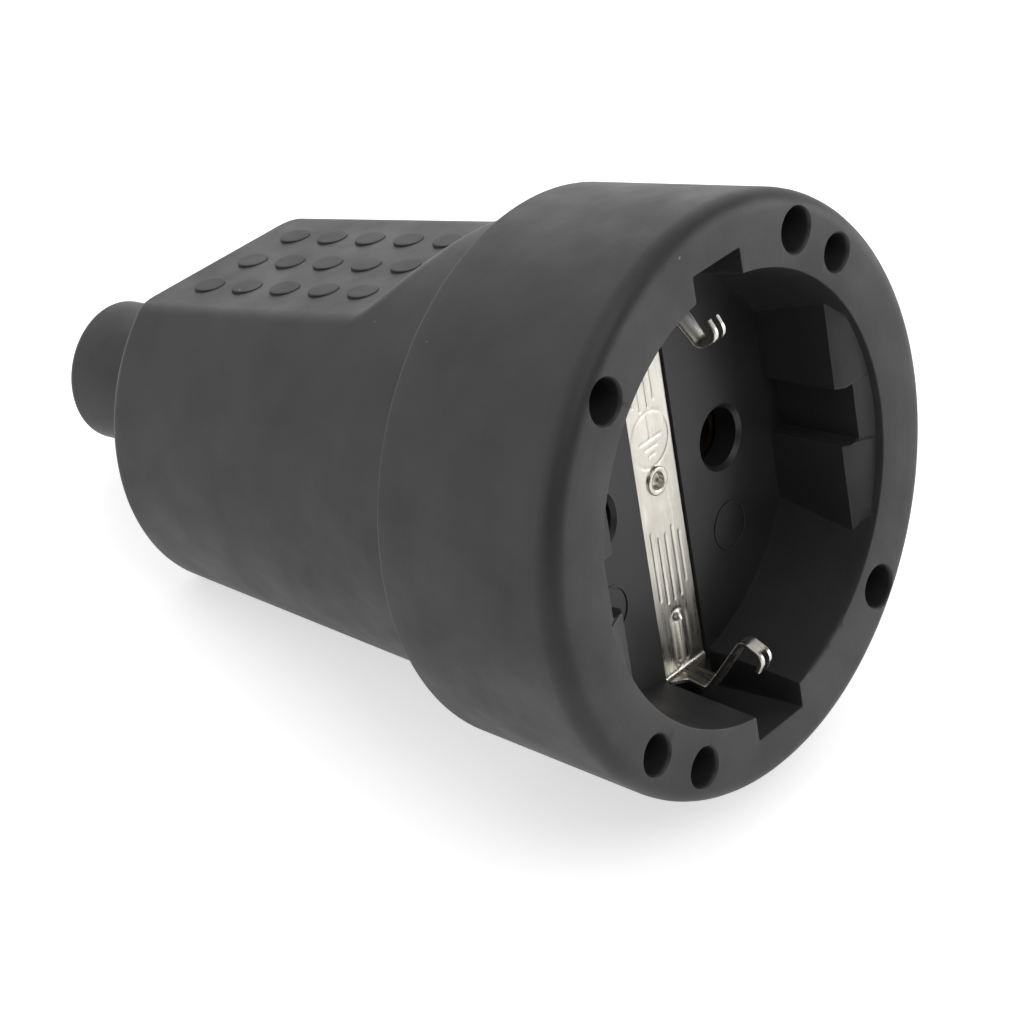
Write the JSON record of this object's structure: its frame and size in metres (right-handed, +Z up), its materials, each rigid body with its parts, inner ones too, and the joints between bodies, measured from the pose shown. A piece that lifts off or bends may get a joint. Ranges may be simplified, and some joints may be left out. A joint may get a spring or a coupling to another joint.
{
  "type": "inline socket connector",
  "caption": "Tapered black rubber cable-end mains socket with a round plug recess, pin sleeves, sprung side earth contacts, dotted grip flats and a cord outlet.",
  "frame": {"origin": "centre of the bounding box's bottom face, on the table it rests on", "axes": "+Z up; the socket face looks along -Y, raised by 15.5 degrees, because the barrel is wider than the grip; X runs through both pins"},
  "size_m": [0.0552, 0.0854, 0.0567],
  "materials": {
    "black_rubber": "satin black rubber, moulded",
    "dark_plastic": "matte black moulded plastic",
    "earth_steel": "nickel-plated spring strip",
    "contact_brass": "bare brass",
    "screw_steel": "zinc-plated steel"
  },
  "bodies": {
    "root": {"rubber_cover": "black_rubber", "socket_faceplate": "dark_plastic", "contact_base": "dark_plastic", "cord_clamp_bar": "dark_plastic", "earth_strap": "earth_steel", "earth_rivet": "earth_steel", "earth_link": "contact_brass", "earth_terminal_block": "contact_brass", "contact_sleeve_left": "contact_brass", "contact_sleeve_right": "contact_brass", "terminal_block_left": "contact_brass", "terminal_block_right": "contact_brass", "sleeve_spring_left": "screw_steel", "sleeve_spring_right": "screw_steel", "terminal_screw_left": "screw_steel", "terminal_screw_right": "screw_steel", "earth_terminal_screw": "screw_steel", "base_screw_upper": "screw_steel", "base_screw_lower": "screw_steel", "cord_clamp_screw_left": "screw_steel", "cord_clamp_screw_right": "screw_steel"}
  },
  "joints": []
}
